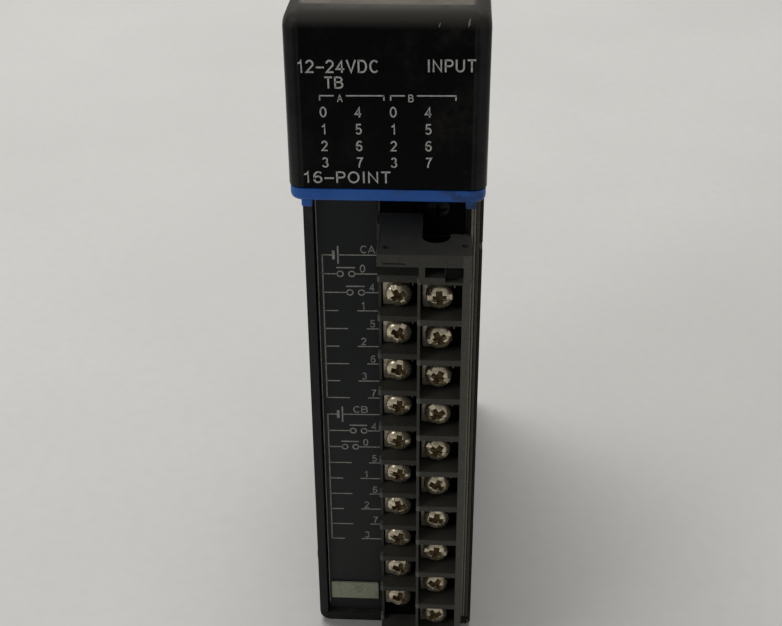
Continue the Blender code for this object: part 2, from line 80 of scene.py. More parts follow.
class Surface:
    """One procedural material and the node helpers used to build it."""

    def __init__(self, name, color, rough, metal=0.0):
        self.mat = bpy.data.materials.new(name)
        self.mat.use_nodes = True
        self.tree = self.mat.node_tree
        self.shader = self.tree.nodes["Principled BSDF"]
        self.shader.inputs["Base Color"].default_value = (*color, 1.0)
        self.shader.inputs["Roughness"].default_value = rough
        self.shader.inputs["Metallic"].default_value = metal
        self.specular(METAL_SPECULAR if metal else PLASTIC_SPECULAR)
        coords = self.tree.nodes.new("ShaderNodeTexCoord")
        self.coords = coords.outputs["Object"]

    def specular(self, level):
        self.shader.inputs["Specular IOR Level"].default_value = level

    def node(self, kind, **settings):
        made = self.tree.nodes.new(kind)
        for key, value in settings.items():
            setattr(made, key, value)
        return made

    def link(self, source, target):
        self.tree.links.new(source, target)

    def stretch(self, scale, turn):
        """The object's coordinates, scaled and turned, for a pattern with a direction."""
        mapping = self.node("ShaderNodeMapping")
        mapping.inputs["Scale"].default_value = scale
        mapping.inputs["Rotation"].default_value = turn
        self.link(self.coords, mapping.inputs["Vector"])
        return mapping.outputs["Vector"]

    def noise(self, scale, detail=3.0, rough=0.55, vector=None):
        made = self.node("ShaderNodeTexNoise")
        made.inputs["Scale"].default_value = scale
        made.inputs["Detail"].default_value = detail
        made.inputs["Roughness"].default_value = rough
        self.link(vector or self.coords, made.inputs["Vector"])
        return made.outputs["Fac"]

    def remap(self, value, low, high, to_low=0.0, to_high=1.0):
        """A smooth step from one value to another as the input runs from low to high."""
        made = self.node("ShaderNodeMapRange", interpolation_type="SMOOTHSTEP")
        for key, number in zip(("From Min", "From Max", "To Min", "To Max"),
                               (low, high, to_low, to_high)):
            made.inputs[key].default_value = number
        self.link(value, made.inputs["Value"])
        return made.outputs["Result"]

    def math(self, kind, a, b):
        made = self.node("ShaderNodeMath", operation=kind, use_clamp=True)
        for slot, value in enumerate((a, b)):
            if isinstance(value, float):
                made.inputs[slot].default_value = value
            else:
                self.link(value, made.inputs[slot])
        return made.outputs[0]

    def mix(self, factor, a, b):
        made = self.node("ShaderNodeMix", data_type="RGBA")
        self.link(factor, made.inputs[MIX_FACTOR])
        for slot, value in ((MIX_A, a), (MIX_B, b)):
            if isinstance(value, tuple):
                made.inputs[slot].default_value = (*value, 1.0)
            else:
                self.link(value, made.inputs[slot])
        return made.outputs[MIX_RESULT]

    def scale(self, color, amount):
        made = self.node("ShaderNodeVectorMath", operation="SCALE")
        self.link(color, made.inputs[0])
        self.link(amount, made.inputs["Scale"])
        return made.outputs[0]

    def axis(self, name, absolute=False):
        split = self.node("ShaderNodeSeparateXYZ")
        self.link(self.coords, split.inputs[0])
        if not absolute:
            return split.outputs[name]
        made = self.node("ShaderNodeMath", operation="ABSOLUTE")
        self.link(split.outputs[name], made.inputs[0])
        return made.outputs[0]

    def facing_up(self, low=0.55, high=0.95):
        """From 0 to 1 as the Z of the surface's normal runs from low to high."""
        geometry = self.node("ShaderNodeNewGeometry")
        split = self.node("ShaderNodeSeparateXYZ")
        self.link(geometry.outputs["Normal"], split.inputs[0])
        return self.remap(split.outputs["Z"], low, high)

    def bump(self, height, strength, distance):
        made = self.node("ShaderNodeBump")
        made.inputs["Strength"].default_value = strength
        made.inputs["Distance"].default_value = distance
        self.link(height, made.inputs["Height"])
        self.link(made.outputs["Normal"], self.shader.inputs["Normal"])

    def use(self, color=None, rough=None):
        if color is not None:
            self.link(color, self.shader.inputs["Base Color"])
        if rough is not None:
            self.link(rough, self.shader.inputs["Roughness"])
        return self.mat


def moulded(name, color, rough, grain=2600.0, bump=0.25, dust=(0.10, 0.09, 0.075),
            dust_low=0.5, dust_high=0.8, dust_most=0.35, settled=0.3, spec=0.25, step=None):
    """Moulded plastic: fine grain, blotchy dust, more of it where the surface faces up.

    step = (x, left, right) scales the colour on the two sides of a plane across the part, as
    painted shade where it darkens and painted highlight where it lightens.
    """
    s = Surface(name, color, rough)
    fine = s.noise(grain, 2.0, 0.6)
    patches = s.noise(170.0, 6.0, 0.68)
    specks = s.noise(1500.0, 3.0, 0.7)
    cloud = s.remap(patches, dust_low, dust_high, 0.0, dust_most)
    speckle = s.remap(specks, 0.62, 0.75, 0.0, dust_most * 0.7)
    top = s.math("MULTIPLY", s.facing_up(),
                 s.remap(patches, 0.3, 0.65, 0.3 * settled, settled))
    amount = s.math("ADD", s.math("ADD", cloud, speckle), top)
    darker = tuple(channel * 0.82 for channel in color)
    lighter = tuple(channel * 1.2 for channel in color)
    shade = s.mix(s.remap(fine, 0.3, 0.7), darker, lighter)
    if step:
        edge, left, right = step
        side = s.remap(s.axis("X"), edge - STEP_BLUR, edge + STEP_BLUR, left, right)
        shade = s.scale(shade, side)
    color_out = s.mix(amount, shade, dust)
    rough_out = s.remap(patches, 0.3, 0.7, rough - 0.06, rough + 0.1)
    s.specular(spec)
    s.bump(fine, bump, 0.00004)
    return s.use(color_out, rough_out)


def smoked_material():
    """The glossy cover: dusty on the right, scratched, painted highlights on its upright edges,
    dust and painted sheen on its crown.
    """
    s = Surface("smoked_gloss", (0.002, 0.002, 0.003), 0.14)
    patches = s.noise(95.0, 7.0, 0.72)
    specks = s.noise(2300.0, 3.0, 0.75)
    hair = s.noise(430.0, 5.0, 0.7, s.stretch((3.0, 3.0, 0.3), (0.0, 0.35, 0.0)))
    across = s.noise(300.0, 4.0, 0.7, s.stretch((0.4, 2.0, 3.2), (0.0, 0.25, 0.0)))
    right = s.remap(s.axis("X"), -0.012, 0.015, 0.35, 1.0)
    dust = s.math("MULTIPLY", s.remap(patches, 0.45, 0.72, 0.0, 0.34), right)
    grit = s.remap(specks, 0.66, 0.74, 0.0, 0.16)
    lines = s.math("ADD", s.remap(hair, 0.66, 0.72, 0.0, 0.10),
                   s.remap(across, 0.67, 0.73, 0.0, 0.08))
    amount = s.math("ADD", s.math("ADD", dust, grit), lines)
    from_middle = s.axis("X", True)
    # Painted highlight on the rounded upright edges, from 14.6 mm out from the middle, and a thin
    # painted highlight line at 14.7 mm where the flat front ends.
    wear = s.remap(from_middle, 0.0146, 0.0158)
    seam_highlight = s.math("MULTIPLY", s.remap(from_middle, 0.0143, 0.0147),
                  s.remap(from_middle, 0.0147, 0.0151, 1.0, 0.0))
    flat = s.mix(amount, (0.0016, 0.0017, 0.0024), (0.047, 0.042, 0.033))
    # The painted highlights, mixed in as a pale grey in patches.
    edges = s.mix(s.math("MULTIPLY", s.math("ADD", wear, s.math("MULTIPLY", seam_highlight, 0.7)),
                         s.remap(patches, 0.3, 0.62, 0.45, 1.0)), flat, (0.0255, 0.0255, 0.026))
    # The crown and the flat top are paler where they face up: dust together with painted sheen from
    # the light above.
    rounded = s.mix(s.facing_up(0.02, 0.6), edges, (0.05, 0.0475, 0.042))
    crown = s.mix(s.remap(patches, 0.35, 0.7), (0.105, 0.096, 0.08), (0.16, 0.145, 0.12))
    top = s.facing_up(0.96, 0.998)
    worn = s.math("ADD", s.remap(patches, 0.42, 0.72, 0.12, 0.4), lines)
    rough = s.math("ADD", worn, s.math("MULTIPLY", s.facing_up(0.1, 0.7), 0.35))
    s.specular(0.05)
    ripple = s.remap(s.noise(900.0, 2.0), 0.3, 0.7, 0.0, 0.1)
    s.bump(s.math("ADD", lines, ripple), 0.12, 0.00003)
    return s.use(s.mix(top, rounded, crown), rough)


def blue_material():
    """The blue band, grimy to the right of its middle."""
    s = Surface("blue_satin", (0.010, 0.075, 0.36), 0.38)
    patches = s.noise(150.0, 6.0, 0.7)
    fine = s.noise(2400.0, 2.0)
    right = s.remap(s.axis("X"), -0.003, 0.005)
    grime = s.math("MULTIPLY", s.remap(patches, 0.42, 0.6), s.remap(right, 0.0, 1.0, 0.12, 0.85))
    shade = s.mix(s.remap(patches, 0.3, 0.7), (0.015, 0.085, 0.35), (0.025, 0.13, 0.47))
    color = s.mix(grime, shade, (0.018, 0.026, 0.05))
    s.bump(fine, 0.2, 0.00003)
    return s.use(color, s.remap(patches, 0.3, 0.7, 0.3, 0.5))


def label_material():
    """The label's dark film, with painted light that makes it paler towards its foot."""
    s = Surface("label_film", (0.012, 0.015, 0.018), 0.42)
    fine = s.noise(5200.0, 2.0, 0.7)
    patches = s.noise(120.0, 5.0, 0.65)
    shade = s.mix(s.remap(fine, 0.35, 0.65), (0.006, 0.0074, 0.009), (0.0096, 0.0112, 0.013))
    # Painted light: paler towards the foot, while the top stays dark as in the shade of the cover.
    painted_foot_light = s.mix(s.remap(s.axis("Z"), 0.012, 0.085, 0.62, 0.0), shade, (0.031, 0.0315, 0.03))
    color = s.mix(s.remap(patches, 0.55, 0.8, 0.0, 0.25), painted_foot_light, (0.05, 0.05, 0.045))
    s.bump(fine, 0.3, 0.00002)
    return s.use(color, s.remap(patches, 0.3, 0.7, 0.36, 0.52))


def paper_material():
    s = Surface("marker_paper", (0.27, 0.29, 0.21), 0.8)
    fibre = s.noise(2600.0, 4.0, 0.75)
    smudge = s.noise(420.0, 5.0, 0.7)
    shade = s.mix(s.remap(fibre, 0.3, 0.7), (0.265, 0.28, 0.20), (0.35, 0.365, 0.275))
    color = s.mix(s.remap(smudge, 0.5, 0.72, 0.0, 0.62), shade, (0.075, 0.08, 0.06))
    s.bump(fibre, 0.4, 0.00003)
    return s.use(color, s.remap(smudge, 0.3, 0.7, 0.7, 0.88))


def ink(name, flat, grain, worn_from, worn_to, bright, dull):
    """Printing ink that is worn in spots."""
    s = Surface(name, flat, 0.6)
    wear = s.noise(grain, 4.0, 0.75)
    color = s.mix(s.remap(wear, worn_from, worn_to), bright, dull)
    s.bump(wear, 0.2, 0.00001)
    return s.use(color, s.remap(wear, 0.3, 0.7, 0.5, 0.7))


def metal(name, bright, dull, rough_low, rough_high, stain=(0.12, 0.07, 0.035), stain_most=0.5,
          metallic=0.72):
    """Plated metal with duller patches and spots of stain."""
    s = Surface(name, bright, rough_low, metallic)
    patches = s.noise(900.0, 5.0, 0.7)
    fine = s.noise(6000.0, 2.0, 0.6)
    shade = s.mix(s.remap(patches, 0.35, 0.7), bright, dull)
    color = s.mix(s.remap(s.noise(1500.0, 5.0, 0.75), 0.56, 0.72, 0.0, stain_most), shade, stain)
    s.bump(fine, 0.1, 0.00002)
    return s.use(color, s.remap(patches, 0.3, 0.7, rough_low, rough_high))


def rust_material():
    s = Surface("recess_rust", (0.10, 0.055, 0.025), 0.8, 0.25)
    crust = s.noise(2200.0, 6.0, 0.75)
    color = s.mix(s.remap(crust, 0.3, 0.68), (0.026, 0.017, 0.007), (0.20, 0.132, 0.052))
    s.bump(crust, 0.7, 0.00008)
    return s.use(color, s.remap(crust, 0.3, 0.7, 0.6, 0.9))


def acrylic_material():
    s = Surface("clear_acrylic", (0.8, 0.83, 0.85), 0.08)
    haze = s.noise(700.0, 3.0)
    s.shader.inputs["Transmission Weight"].default_value = 0.85
    return s.use(None, s.remap(haze, 0.3, 0.7, 0.05, 0.2))


def board_material():
    s = Surface("board_green", (0.01, 0.09, 0.04), 0.4)
    traces = s.node("ShaderNodeTexBrick")
    traces.inputs["Scale"].default_value = 160.0
    traces.inputs["Mortar Size"].default_value = 0.03
    s.link(s.stretch((1.0, 1.0, 1.0), (0.0, math.pi / 2, 0.0)), traces.inputs["Vector"])
    weave = s.noise(3000.0, 2.0)
    shade = s.mix(s.remap(weave, 0.3, 0.7), (0.008, 0.075, 0.033), (0.013, 0.105, 0.048))
    color = s.mix(traces.outputs["Fac"], shade, (0.03, 0.17, 0.07))
    s.bump(traces.outputs["Fac"], 0.3, 0.00004)
    return s.use(color, s.remap(weave, 0.3, 0.7, 0.32, 0.48))


def floor_material():
    s = Surface("pale_table", (0.56, 0.55, 0.53), 0.6)
    broad = s.noise(3.0, 4.0, 0.6)
    fine = s.noise(260.0, 3.0, 0.6)
    tone = s.mix(s.remap(broad, 0.3, 0.7), (0.535, 0.53, 0.515), (0.585, 0.58, 0.565))
    color = s.mix(s.remap(fine, 0.35, 0.75, 0.0, 0.25), tone, (0.50, 0.49, 0.475))
    s.bump(fine, 0.08, 0.0002)
    return s.use(color, s.remap(broad, 0.3, 0.7, 0.5, 0.65))


HOUSING = moulded("housing_black", (0.0135, 0.0135, 0.0145), 0.5, dust_most=0.22)
# Left of x = 14.9 mm the colour falls to a fifth: painted shade on the strip of the front edge
# beside the block.
SIDE = moulded("side_cover_black", (0.022, 0.019, 0.0155), 0.52, dust=(0.12, 0.10, 0.075),
               dust_low=0.45, dust_most=0.3, step=(14.9 * MM, 0.2, 1.0))
SMOKED = smoked_material()
BLUE = blue_material()
LABEL = label_material()
PAPER = paper_material()
INK = ink("print_ink", (0.36, 0.36, 0.34), 1600.0, 0.42, 0.72,
          (0.50, 0.50, 0.475), (0.25, 0.245, 0.23))
DIAGRAM = ink("diagram_ink", (0.10, 0.105, 0.095), 1300.0, 0.4, 0.7,
              (0.33, 0.333, 0.295), (0.185, 0.187, 0.165))
# Right of x = 13.5 mm the colour is raised by half: painted highlight on the rail at the block's
# right.
BLOCK = moulded("block_olive_grey", (0.0445, 0.0435, 0.0365), 0.62, grain=3200.0, bump=0.35,
                dust=(0.12, 0.115, 0.095), dust_low=0.55, dust_high=0.85, dust_most=0.22,
                settled=0.16, step=(13.5 * MM, 1.0, 1.55))
NICKEL = metal("nickel", (0.74, 0.665, 0.50), (0.42, 0.35, 0.235), 0.20, 0.34, stain_most=0.3,
               metallic=0.86)
WASHER = metal("washer_nickel", (0.50, 0.455, 0.365), (0.32, 0.28, 0.21), 0.34, 0.48)
ZINC = metal("dark_zinc", (0.011, 0.011, 0.0105), (0.006, 0.0058, 0.005), 0.45, 0.6,
             stain=(0.012, 0.009, 0.006), stain_most=0.3)
# A pale colour that paints the highlight on the nubs, the prongs and the flange's edge lines.
PALE_HIGHLIGHT = moulded("block_painted_highlight", (0.10, 0.10, 0.09), 0.6, grain=3200.0, bump=0.3)
# The ridges' pale colour is painted highlight with dust; right of x = 15.93 mm the painted
# highlight is weaker.
RIM_HIGHLIGHT = moulded("rim_painted_highlight", (0.27, 0.25, 0.20), 0.5, dust=(0.3, 0.26, 0.19), dust_most=0.2,
              step=(15.93 * MM, 1.0, 0.36))
# A near-black that paints shade on the latch plate, on the base behind the flange and on the inner
# faces of the right walls.
NEAR_BLACK_SHADE = moulded("painted_shade_dark", (0.0065, 0.0065, 0.006), 0.7, dust=(0.02, 0.018, 0.014), settled=0.05,
                spec=0.08)
FLANGE = moulded("flange_dusty", (0.053, 0.051, 0.042), 0.66, grain=3200.0, bump=0.35,
                 dust=(0.12, 0.11, 0.085), settled=0.3)
# A near-black that paints shade in the pocket floors and in the jack screws' crosses.
DEPTH_SHADE = moulded("block_painted_shade", (0.0035, 0.0035, 0.003), 0.8, dust=(0.01, 0.009, 0.007),
                 settled=0.0, spec=0.05)
CHIP = moulded("chipped_edge", (0.20, 0.195, 0.18), 0.7, grain=5000.0)
RUST = rust_material()
ACRYLIC = acrylic_material()
BOARD = board_material()
HEADER = moulded("header_black", (0.004, 0.004, 0.004), 0.7, dust=(0.02, 0.018, 0.015), spec=0.08)
CONNECTOR = moulded("connector_grey", (0.10, 0.10, 0.098), 0.5)
EPOXY = moulded("chip_epoxy", (0.018, 0.018, 0.02), 0.42, grain=4200.0)
SLEEVE = moulded("capacitor_sleeve", (0.03, 0.05, 0.16), 0.3, bump=0.05)


# ---------------------------------------------------------------- mesh helpers
# Edges flatter than these are shaded smooth, in degrees.
SMOOTH_ANGLE = 32.0
SMOOTH_ROUNDED = 40.0
SMOOTH_CUT = 38.0
# In a softened CAD solid, faces closer to one plane than the first are merged and edges sharper
# than the second are bevelled, in degrees.
SAME_PLANE = 1.0
REFINE_ANGLE = 35.0
# Vertices closer than these are welded, in metres.
SAME_PLACE = 2e-6
LATHE_WELD = 1e-7
# A unit direction with more than this along an axis counts as along it.
FACING = 0.9


def add(name, mesh, body, *materials, slot, replaces=()):
    """Links a finished mesh as a piece that rides on a body."""
    obj = bpy.data.objects.new(name, mesh)
    bpy.context.scene.collection.objects.link(obj)
    if materials:
        mesh.materials.clear()
        for mat in materials:
            mesh.materials.append(mat)
    if replaces:
        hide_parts(*replaces)
    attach(obj, body)
    return obj


def flat_mesh(name, bm):
    """The bmesh as a mesh whose faces all point outwards. The bmesh goes."""
    bmesh.ops.recalc_face_normals(bm, faces=bm.faces)
    mesh = bpy.data.meshes.new(name)
    bm.to_mesh(mesh)
    bm.free()
    return mesh


def to_mesh(name, bm):
    mesh = flat_mesh(name, bm)
    smooth(mesh, SMOOTH_ANGLE)
    return mesh


def smooth(mesh, angle):
    mesh.polygons.foreach_set("use_smooth", [True] * len(mesh.polygons))
    mesh.set_sharp_from_angle(angle=math.radians(angle))


def bake_modifiers(obj):
    """The object's mesh with its modifiers applied, as a new mesh. The object goes."""
    depsgraph = bpy.context.evaluated_depsgraph_get()
    depsgraph.update()
    mesh = bpy.data.meshes.new_from_object(obj.evaluated_get(depsgraph))
    bpy.data.objects.remove(obj, do_unlink=True)
    return mesh


def scratch(mesh, name="scratch"):
    """Links a mesh into the scene as it is, to take modifiers, to cut with or to stand on."""
    obj = bpy.data.objects.new(name, mesh)
    bpy.context.scene.collection.objects.link(obj)
    return obj


def soften(obj, width, segments, angle=None):
    """Bevels the edges sharper than the angle, or Blender's own limit. Width in millimetres."""
    bevel = obj.modifiers.new("edge", "BEVEL")
    bevel.width = width * MM
    bevel.segments = segments
    bevel.limit_method = "ANGLE"
    if angle is not None:
        bevel.angle_limit = math.radians(angle)


def subtract(obj, cutter, use_self=False):
    cut = obj.modifiers.new("cut", "BOOLEAN")
    cut.operation = "DIFFERENCE"
    cut.solver = "EXACT"
    cut.use_self = use_self
    cut.object = cutter


def refine(node, piece, body, mat, slot, width):
    """A softened copy of a CAD node: flat faces merged, edges bevelled, round faces smooth."""
    mesh = NODES[node].data.copy()
    mesh.transform(NODES[node].matrix_world)
    bm = bmesh.new()
    bm.from_mesh(mesh)
    bmesh.ops.remove_doubles(bm, verts=bm.verts, dist=SAME_PLACE)
    bmesh.ops.dissolve_limit(bm, angle_limit=math.radians(SAME_PLANE), verts=bm.verts,
                             edges=bm.edges)
    bm.to_mesh(mesh)
    bm.free()
    smooth(mesh, SMOOTH_ROUNDED)
    obj = scratch(mesh)
    soften(obj, width, 2, REFINE_ANGLE)
    even = obj.modifiers.new("even", "WEIGHTED_NORMAL")
    even.keep_sharp = True
    even.weight = 100
    made = bake_modifiers(obj)
    made.name = piece
    return add(piece, made, body, mat, slot=slot, replaces=(node,))


# Heights in the part and a place across it, in millimetres.
FLANGE_TOP = 104.5
RIGHT_POCKETS_TOP = 102.0
INNER_WALL = 12
# The line between the block's two tiers, and how far their pocket floors and the base behind the
# flange lie from the housing's front edge. In front of it is negative. Millimetres.
TIER_SPLIT = 5.8
LEFT_FLOOR, BASE_FLOOR, RIGHT_FLOOR = -1.5, -2.3, -13.5


def darken_depths(block):
    """Paints shade on the pocket floors and the base behind the flange with near-black materials,
    and gives the flange's top its dusty material.
    """
    mesh = block.data
    for mat in (DEPTH_SHADE, NEAR_BLACK_SHADE, FLANGE):
        mesh.materials.append(mat)
    # Slots 1 and 2 are near-black painted shade, slot 3 the flange's top.
    depths, latch, flange = 1, 2, 3
    for face in mesh.polygons:
        x, y, z = (value / MM for value in face.center)
        depth = y - FRONT_EDGE / MM
        if face.normal.z > FACING and z > FLANGE_TOP and depth < LEFT_FLOOR:
            face.material_index = flange
        if face.normal.y > -FACING:
            continue
        in_right_pocket = x > TIER_SPLIT and depth > RIGHT_FLOOR and z < RIGHT_POCKETS_TOP
        if depth > LEFT_FLOOR or in_right_pocket:
            face.material_index = depths
        elif depth > BASE_FLOOR:
            face.material_index = latch


def darken_inner_wall(shell):
    """The inside of the right wall gets no light in the photograph."""
    mesh = shell.data
    mesh.materials.append(NEAR_BLACK_SHADE)
    # Slot 1 is the near-black painted shade.
    latch = 1
    for face in mesh.polygons:
        if face.normal.x < -FACING and face.center.x > INNER_WALL * MM:
            face.material_index = latch


def build_mouldings():
    """The three big mouldings. The last number of each is its bevel's width in millimetres."""
    housing = refine("main_housing", "housing_shell", "housing", HOUSING, "housing_black", 0.22)
    side = refine("side_cover", "side_shell", "housing", SIDE, "side_cover_black", 0.14)
    block = refine("terminal_block", "block_moulding", "terminal_block", BLOCK, "block_grey", 0.12)
    darken_inner_wall(housing)
    darken_inner_wall(side)
    darken_depths(block)


def box_into(bm, low, high, material=0):
    """Adds a box between two corners and returns its vertices. Lengths in metres."""
    centre = (Vector(low) + Vector(high)) / 2
    size = Vector(high) - Vector(low)
    made = bmesh.ops.create_cube(bm, size=1.0, matrix=Matrix.Translation(centre)
                                 @ Matrix.Diagonal(size.to_4d()))
    for vert in made["verts"]:
        for face in vert.link_faces:
            face.material_index = material
    return made["verts"]


def bevel_edges(bm, verts, wanted, radius, steps):
    """Bevels the edges of some vertices that wanted(direction, middle) picks out."""
    # A dict keeps the edges in order, and a set would not.
    edges = dict.fromkeys(edge for vert in verts for edge in vert.link_edges)
    chosen = []
    for edge in edges:
        direction = (edge.verts[1].co - edge.verts[0].co).normalized()
        if wanted(direction, (edge.verts[1].co + edge.verts[0].co) / 2):
            chosen.append(edge)
    bmesh.ops.bevel(bm, geom=chosen, offset=radius, segments=steps, affect="EDGES", profile=0.5)


def lathe(profile, steps):
    """Turns (radius, y) points, in millimetres, about the Y axis."""
    bm = bmesh.new()
    ring = [bm.verts.new((radius * MM, y * MM, 0.0)) for radius, y in profile]
    edges = [bm.edges.new(pair) for pair in zip(ring, ring[1:])]
    bmesh.ops.spin(bm, geom=ring + edges, cent=(0, 0, 0), axis=(0, 1, 0),
                   angle=math.tau, steps=steps, use_duplicate=False)
    bmesh.ops.remove_doubles(bm, verts=bm.verts, dist=LATHE_WELD)
    return bm


# ---------------------------------------------------------------- printing
def arc(x, y, wide, high, start, end, steps=9):
    """Points on part of an ellipse, from one angle in degrees to another."""
    points = []
    for step in range(steps + 1):
        turn = math.radians(start + (end - start) * step / steps)
        points.append((x + wide * math.cos(turn), y + high * math.sin(turn)))
    return points


# Each letter's width and its strokes, where the letter is 1 high.
STEM = [(0.08, 0.0), (0.08, 1.0)]
LETTERS = {
    "0": (0.60, [arc(0.3, 0.5, 0.25, 0.45, 90, 450, 24)]),
    "1": (0.50, [[(0.08, 0.74), (0.24, 0.78), (0.32, 0.96), (0.32, 0.0)]]),
    "2": (0.60, [arc(0.29, 0.69, 0.23, 0.26, 170, -25) + [(0.05, 0.05), (0.55, 0.05)]]),
    "3": (0.60, [arc(0.28, 0.73, 0.2, 0.22, 160, -85), arc(0.28, 0.28, 0.24, 0.235, 85, -165)]),
    "4": (0.62, [[(0.42, 0.0), (0.42, 0.93), (0.04, 0.29), (0.58, 0.29)]]),
    "5": (0.60, [[(0.52, 0.95), (0.15, 0.95), (0.09, 0.5)]
                 + arc(0.28, 0.32, 0.24, 0.275, 125, -150, 12)]),
    "6": (0.60, [arc(0.3, 0.31, 0.23, 0.265, 90, 450, 18),
                 arc(0.34, 0.5, 0.27, 0.455, 48, 205)]),
    "7": (0.58, [[(0.04, 0.95), (0.54, 0.95), (0.36, 0.62), (0.25, 0.28), (0.22, 0.0)]]),
    "A": (0.68, [[(0.03, 0.0), (0.34, 0.95), (0.65, 0.0)], [(0.15, 0.33), (0.53, 0.33)]]),
    "B": (0.70, [STEM, [(0.08, 0.95)] + arc(0.36, 0.745, 0.22, 0.205, 90, -90) + [(0.08, 0.54)],
                 arc(0.37, 0.295, 0.26, 0.245, 72, -90) + [(0.08, 0.05)]]),
    "C": (0.72, [arc(0.37, 0.5, 0.29, 0.45, 45, 315, 16)]),
    "D": (0.70, [STEM, [(0.08, 0.95)] + arc(0.31, 0.5, 0.3, 0.45, 90, -90, 12) + [(0.08, 0.05)]]),
    "I": (0.24, [[(0.12, 0.0), (0.12, 1.0)]]),
    "N": (0.70, [[(0.08, 0.0), (0.08, 0.93), (0.6, 0.07), (0.6, 1.0)]]),
    "O": (0.76, [arc(0.37, 0.5, 0.31, 0.45, 90, 450, 24)]),
    "P": (0.62, [STEM, [(0.08, 0.95)] + arc(0.35, 0.71, 0.21, 0.24, 90, -90) + [(0.08, 0.47)]]),
    "T": (0.62, [[(0.02, 0.95), (0.6, 0.95)], [(0.31, 0.95), (0.31, 0.0)]]),
    "U": (0.68, [[(0.08, 1.0), (0.08, 0.36)] + arc(0.33, 0.33, 0.25, 0.28, 180, 360)
                 + [(0.58, 0.36), (0.58, 1.0)]]),
    "V": (0.66, [[(0.03, 1.0), (0.33, 0.05), (0.63, 1.0)]]),
    "-": (0.58, [[(0.0, 0.42), (0.58, 0.42)]]),
}
LETTER_GAP = 0.12
STROKE = 0.135
PRINT_THICK = 0.03 * MM
PRINT_PROUD = 0.005 * MM
RING_STEPS = 20
SAME_POINT = 1e-6
SHARPEST_MITRE = 0.5


def stroke_sides(points, weight):
    """The left and right edges of a line of even weight through the points."""
    closed = (Vector(points[0]) - Vector(points[-1])).length < SAME_POINT
    path = [Vector(point) for point in (points[:-1] if closed else points)]
    left, right = [], []
    for number, here in enumerate(path):
        before = path[number - 1] if closed or number else None
        after = path[(number + 1) % len(path)] if closed or number < len(path) - 1 else None
        first = (here - before).normalized() if before else (after - here).normalized()
        second = (after - here).normalized() if after else first
        tangent = (first + second).normalized()
        normal = Vector((-tangent.y, tangent.x))
        mitre = max(SHARPEST_MITRE, normal.dot(Vector((-first.y, first.x))))
        reach = weight / 2 / mitre
        left.append(here + normal * reach)
        right.append(here - normal * reach)
    return left, right, closed


class Print:
    """Words, lines and rings printed just in front of an upright plane. Lengths in millimetres."""

    def __init__(self, surface):
        self.bm = bmesh.new()
        self.plane = surface - PRINT_PROUD
        self.front = self.plane - PRINT_THICK / 2
        self.back = self.plane + PRINT_THICK / 2

    def stroke(self, points, weight):
        """A line of even weight, as a thin closed strip."""
        left, right, closed = stroke_sides(points, weight)
        loops = []
        for side, y in ((left, self.front), (right, self.front),
                        (right, self.back), (left, self.back)):
            loops.append([self.bm.verts.new((p.x * MM, y, p.y * MM)) for p in side])
        count = len(left)
        for first, second in zip(loops, loops[1:] + loops[:1]):
            for step in range(count if closed else count - 1):
                after = (step + 1) % count
                self.bm.faces.new((first[step], first[after], second[after], second[step]))
        if not closed:
            for end in (0, -1):
                self.bm.faces.new([loop[end] for loop in loops])

    def word(self, letters, x, z, height, width=None, centred=False, gap=LETTER_GAP):
        """Letters from x, or about it when centred, with their middles at z."""
        span = sum(LETTERS[letter][0] for letter in letters) + gap * (len(letters) - 1)
        stretch = width / span if width else height
        start = x - 0.5 * span * stretch if centred else x
        for letter in letters:
            advance, strokes = LETTERS[letter]
            for points in strokes:
                placed = [(start + a * stretch, z + (b - 0.5) * height) for a, b in points]
                self.stroke(placed, STROKE * height)
            start += (advance + gap) * stretch

    def bar(self, x0, x1, z0, z1):
        box_into(self.bm, (x0 * MM, self.front, z0 * MM), (x1 * MM, self.back, z1 * MM))

    def across(self, x0, x1, z, weight):
        self.bar(x0, x1, z - weight / 2, z + weight / 2)

    def down(self, x, z0, z1, weight):
        self.bar(x - weight / 2, x + weight / 2, z0, z1)

    def ring(self, x, z, radius, weight):
        loops = []
        for size in (radius - weight / 2, radius + weight / 2):
            for y in (self.front, self.back):
                loop = []
                for step in range(RING_STEPS):
                    turn = math.tau * step / RING_STEPS
                    loop.append(self.bm.verts.new(((x + size * math.cos(turn)) * MM, y,
                                                   (z + size * math.sin(turn)) * MM)))
                loops.append(loop)
        inner_front, inner_back, outer_front, outer_back = loops
        pairs = ((inner_front, outer_front), (outer_front, outer_back),
                 (outer_back, inner_back), (inner_back, inner_front))
        for first, second in pairs:
            for step in range(RING_STEPS):
                after = (step + 1) % RING_STEPS
                self.bm.faces.new((first[step], first[after], second[after], second[step]))

    def turn(self, angle, x, z):
        """Turns the print about a point in its plane, in degrees, anticlockwise from the front."""
        bmesh.ops.rotate(self.bm, verts=self.bm.verts, cent=(x * MM, self.plane, z * MM),
                         matrix=Matrix.Rotation(math.radians(-angle), 3, "Y"))

    def lean(self, slope, x):
        """Slants the rows and leaves the uprights upright. The print stays where it is at x."""
        for vert in self.bm.verts:
            vert.co.z += slope * (vert.co.x - x * MM)

    def finish(self, name, body, mat, slot):
        return add(name, to_mesh(name, self.bm), body, mat, slot=slot)


# In degrees.
LEGEND_TURN = 0.7
LEGEND_LINE = 0.22
DIGIT_LEFT, DIGIT_COLUMN = -10.7, 5.9
DIGIT_TOP, DIGIT_ROW = 132.35, 3.06


